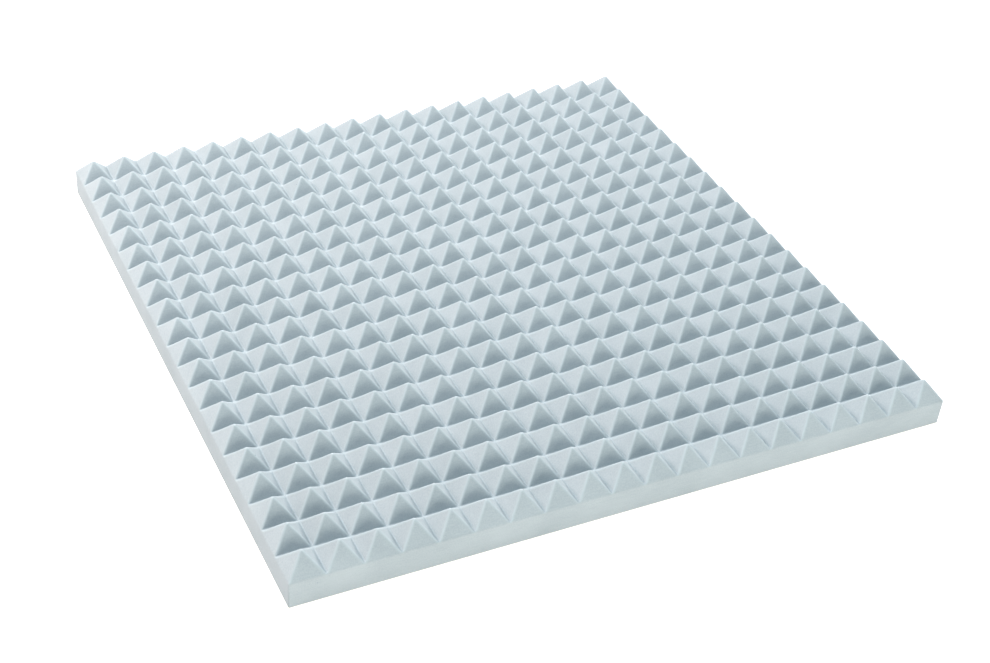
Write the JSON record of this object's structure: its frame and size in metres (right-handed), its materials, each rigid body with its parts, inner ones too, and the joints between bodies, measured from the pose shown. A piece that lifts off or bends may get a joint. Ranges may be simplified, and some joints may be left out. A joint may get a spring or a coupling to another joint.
{
  "type": "acoustic foam panel",
  "caption": "Square sheet of open-cell sound-absorbing foam with a field of small square pyramids on its face and a self-adhesive back under a split release liner.",
  "frame": {"origin": "middle of the underside, on the plane that the sheet lies on", "axes": "+Z from the flat back towards the pyramids' tips; +X and +Y along the sheet's edges; the liner's slit runs along Y"},
  "size_m": [1, 1, 0.0684],
  "materials": {
    "foam": "matt open-cell foam, cut surface",
    "adhesive": "clear tacky film",
    "liner_paper": "smooth siliconised paper, satin"
  },
  "bodies": {
    "root": {"foam_panel": "foam", "adhesive_film": "adhesive", "release_liner_left": "liner_paper", "release_liner_right": "liner_paper"}
  },
  "joints": []
}
